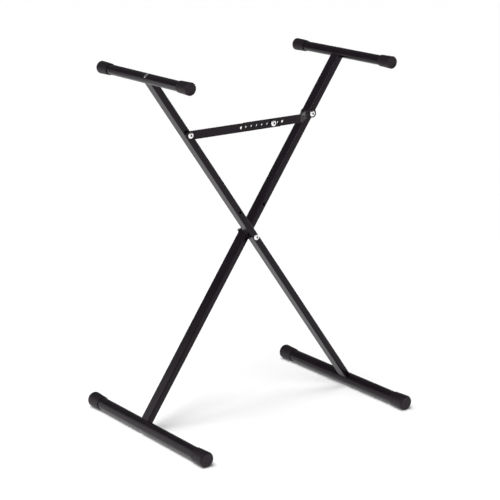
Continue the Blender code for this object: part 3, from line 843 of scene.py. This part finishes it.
def build_stand():
    add_leg("front_leg", FRONT_FRAME, -LEG_CENTRE, "front_frame")
    add_leg("rear_leg", REAR_FRAME, LEG_CENTRE, "rear_frame")
    add_rail("left_arm", ARM_RADIUS, FRONT_FRAME, UPPER_LEG, -LEG_CENTRE, 1, "front_frame")
    add_rail("right_foot", FOOT_RADIUS, FRONT_FRAME, -LOWER_LEG, -LEG_CENTRE, -1, "front_frame")
    add_rail("right_arm", ARM_RADIUS, REAR_FRAME, UPPER_LEG, LEG_CENTRE, 1, "rear_frame")
    add_rail("left_foot", FOOT_RADIUS, REAR_FRAME, -LOWER_LEG, LEG_CENTRE, -1, "rear_frame")

    add_bolt("pivot_bolt", "pivot_head", "front_frame", PIVOT_SHANK_RADIUS, PIVOT_THREAD_PITCH, turn=0.3)
    add_washer("pivot_spacer", "pivot_spacer_disc", "front_frame", "nylon", SPACER_RADIUS, PIVOT_SHANK_RADIUS)
    add_washer("pivot_washer", "pivot_back_washer", "front_frame", "zinc", PIVOT_WASHER_RADIUS,
               PIVOT_SHANK_RADIUS)
    add_nut("pivot_nut", "pivot_lock_nut", "front_frame", PIVOT_NUT_FLATS, PIVOT_SHANK_RADIUS, -LEG_ANGLE,
            PIVOT_NUT_COLLAR)

    add_strap("front_strap", FRONT_BRACE, 1, FRONT_LOCK_HOLE, "front_brace", False)
    add_strap("rear_strap", REAR_BRACE, -1, REAR_LOCK_HOLE, "rear_brace", True)
    add_washer("front_strap_spacer", "front_strap_spacer_disc", "front_frame", "nylon", SPACER_RADIUS,
               SHANK_RADIUS)
    add_bolt("front_strap_bolt", "front_strap_head", "front_frame", turn=0.2)
    add_nut("front_strap_nut", "front_strap_hex_nut", "front_frame", NUT_FLATS, SHANK_RADIUS, -LEG_ANGLE)
    add_bolt("rear_strap_bolt", "rear_strap_head", "rear_frame", turn=0.5)
    add_nut("rear_strap_nut", "rear_strap_hex_nut", "rear_frame", NUT_FLATS, SHANK_RADIUS, LEG_ANGLE)
    add_lock()

    # The hidden plugs and bushes keep their CAD shapes, and get their finish here
    for node, obj in frame["nodes"].items():
        if node.endswith(("_plug", "_bush")):
            obj.data.materials.clear()
            obj.data.materials.append(FINISHES["plain_steel"])


build_stand()


# Floor, light and camera

# Glow, ambient and flag tone are radiances, and 1 shows as white. The camera was fitted to the photo's edges.
FLOOR_SIZE = 30.0
FLOOR_COLOUR = (0.86, 0.86, 0.86)
FLOOR_GLOW = 0.14
AMBIENT = 0.1
FLAG_TONE = 0.17
FLAG_TOP = 3.6
FOCAL_PIXELS = 1679.345
PICTURE_PIXELS = 500
SENSOR_WIDTH = 36.0
CAMERA_PLACE = (-2.24678, -3.05702, 1.46256)
CAMERA_YAW, CAMERA_PITCH, CAMERA_ROLL = 0.63464, -0.27424, -0.00406


def ray_is(tree, *kinds):
    """1 for rays of any of these kinds."""
    path = tree.nodes.new("ShaderNodeLightPath")
    value = path.outputs[kinds[0]]
    for kind in kinds[1:]:
        value = calculated(tree, "MAXIMUM", value, path.outputs[kind])
    return value


def emission(tree, colour, strength):
    node = tree.nodes.new("ShaderNodeEmission")
    node.inputs["Color"].default_value = (*colour, 1.0)
    node.inputs["Strength"].default_value = strength
    return node.outputs["Emission"]


def joined(tree, kind, *shaders, factor=None):
    node = tree.nodes.new(kind)
    sockets = [socket for socket in node.inputs if socket.type == "SHADER"]
    for socket, shader in zip(sockets, shaders):
        tree.links.new(shader, socket)
    if factor is not None:
        tree.links.new(factor, node.inputs["Fac"])
    return node.outputs["Shader"]


def background_rays(tree):
    """The rays that see the white background: the camera's own, and those off gloss and through glass."""
    return ray_is(tree, "Is Camera Ray", "Is Glossy Ray", "Is Transmission Ray")


def flat_sheet(name, corners, material_name):
    """A sheet of the set, with its material's node tree and the input that its shader goes to."""
    mesh = bpy.data.meshes.new(name)
    mesh.from_pydata(corners, [], [(0, 1, 2, 3)])
    sheet = loose_object(name, mesh, Matrix.Identity(4))
    material = bpy.data.materials.new(material_name)
    material.use_nodes = True
    mesh.materials.append(material)
    tree = material.node_tree
    tree.nodes.clear()
    return sheet, tree, tree.nodes.new("ShaderNodeOutputMaterial").inputs["Surface"]


def make_floor():
    """A matt pale floor, which glows a little where the background shows: white with pale shadows."""
    half = FLOOR_SIZE / 2
    corners = [(-half, -half, 0), (half, -half, 0), (half, half, 0), (-half, half, 0)]
    floor, tree, surface = flat_sheet("floor", corners, "floor_white")
    matt = tree.nodes.new("ShaderNodeBsdfDiffuse")
    matt.inputs["Color"].default_value = (*FLOOR_COLOUR, 1.0)
    glow = emission(tree, (1.0, 1.0, 1.0), FLOOR_GLOW)
    glowing = joined(tree, "ShaderNodeAddShader", matt.outputs["BSDF"], glow)
    result = joined(tree, "ShaderNodeMixShader", matt.outputs["BSDF"], glowing, factor=background_rays(tree))
    tree.links.new(result, surface)


def make_world():
    """White where the background shows, and a dim light from all round for the rest."""
    world = bpy.data.worlds.new("studio")
    bpy.context.scene.world = world
    world.use_nodes = True
    world.cycles.sampling_method = "NONE"
    tree = world.node_tree
    tree.nodes.clear()
    shades = []
    for level in (AMBIENT, 1.0):
        node = tree.nodes.new("ShaderNodeBackground")
        node.inputs["Color"].default_value = (level, level, level, 1.0)
        shades.append(node.outputs["Background"])
    seen = joined(tree, "ShaderNodeMixShader", *shades, factor=background_rays(tree))
    output = tree.nodes.new("ShaderNodeOutputWorld")
    tree.links.new(seen, output.inputs["Surface"])


def add_flag(name, corners):
    """A dark grey flag beside the set, as photographers use, which shows only in gloss."""
    flag, tree, surface = flat_sheet(name, corners, name)
    tree.links.new(emission(tree, (FLAG_TONE,) * 3, 1.0), surface)
    flag.visible_camera = False
    flag.visible_diffuse = False
    flag.visible_shadow = False
    flag.visible_transmission = False


def add_wall_flag(name, start, end, bottom):
    """An upright flag from one place on the floor to another, from a height up to the overhead flag."""
    add_flag(name, [(*start, bottom), (*end, bottom), (*end, FLAG_TOP), (*start, FLAG_TOP)])


def add_sun(name, shadow_way, elevation, strength, width):
    """A soft distant light whose shadows fall along a direction on the floor. Gloss doesn't mirror it."""
    lamp = bpy.data.lights.new(name, "SUN")
    lamp.energy = strength
    lamp.angle = math.radians(width)
    sun = bpy.data.objects.new(name, lamp)
    bpy.context.scene.collection.objects.link(sun)
    sun.visible_glossy = False
    down = Vector((shadow_way[0], shadow_way[1], 0)).normalized() * math.cos(math.radians(elevation))
    down.z = -math.sin(math.radians(elevation))
    sun.rotation_mode = "QUATERNION"
    sun.rotation_quaternion = down.to_track_quat("-Z", "Y")


def add_card(name, centre, target, width, height, radiance):
    """A bright card with a given radiance, which the camera doesn't see."""
    lamp = bpy.data.lights.new(name, "AREA")
    lamp.shape = "RECTANGLE"
    lamp.size, lamp.size_y = width, height
    lamp.energy = radiance * math.pi * width * height
    card = bpy.data.objects.new(name, lamp)
    bpy.context.scene.collection.objects.link(card)
    card.location = centre
    card.rotation_mode = "QUATERNION"
    card.rotation_quaternion = (Vector(target) - Vector(centre)).to_track_quat("-Z", "Y")
    card.visible_camera = False


def make_camera():
    yaw, pitch = CAMERA_YAW, CAMERA_PITCH
    forward = Vector((math.sin(yaw) * math.cos(pitch), math.cos(yaw) * math.cos(pitch), math.sin(pitch)))
    level = Vector((math.cos(yaw), -math.sin(yaw), 0))
    upright = level.cross(forward)
    right = math.cos(CAMERA_ROLL) * level + math.sin(CAMERA_ROLL) * upright
    up = math.cos(CAMERA_ROLL) * upright - math.sin(CAMERA_ROLL) * level
    data = bpy.data.cameras.new("camera")
    data.sensor_width = SENSOR_WIDTH
    data.lens = FOCAL_PIXELS / PICTURE_PIXELS * SENSOR_WIDTH
    camera = bpy.data.objects.new("camera", data)
    bpy.context.scene.collection.objects.link(camera)
    turn = Matrix((right, up, -forward)).transposed().to_4x4()
    camera.matrix_world = Matrix.Translation(CAMERA_PLACE) @ turn
    bpy.context.scene.camera = camera


make_floor()
make_world()
add_sun("left_front_light", shadow_way=(0.76, 0.65), elevation=55, strength=1.35, width=22)
add_sun("overhead_light", shadow_way=(1.0, 0.0), elevation=82, strength=1.3, width=24)
add_sun("left_back_light", shadow_way=(0.75, -0.66), elevation=55, strength=0.5, width=28)
add_card("upper_left_card", centre=(-1.35, -0.2, 2.2), target=(0, 0, 0.5), width=0.95, height=0.6,
         radiance=5.5)
add_card("back_left_card", centre=(-1.25, 0.95, 0.425), target=(-1.25, 0, 0.425), width=0.9, height=0.85,
         radiance=1.1)
add_wall_flag("back_flag", start=(-1.6, 2.2), end=(3.2, 0.9), bottom=0.0)
add_wall_flag("back_left_flag", start=(-6.0, 3.0), end=(-1.6, 2.2), bottom=0.3)
add_flag("overhead_flag", [(-6, -6, FLAG_TOP), (6, -6, FLAG_TOP), (6, 3, FLAG_TOP), (-6, 3, FLAG_TOP)])
make_camera()
bpy.context.scene.view_settings.view_transform = "Standard"
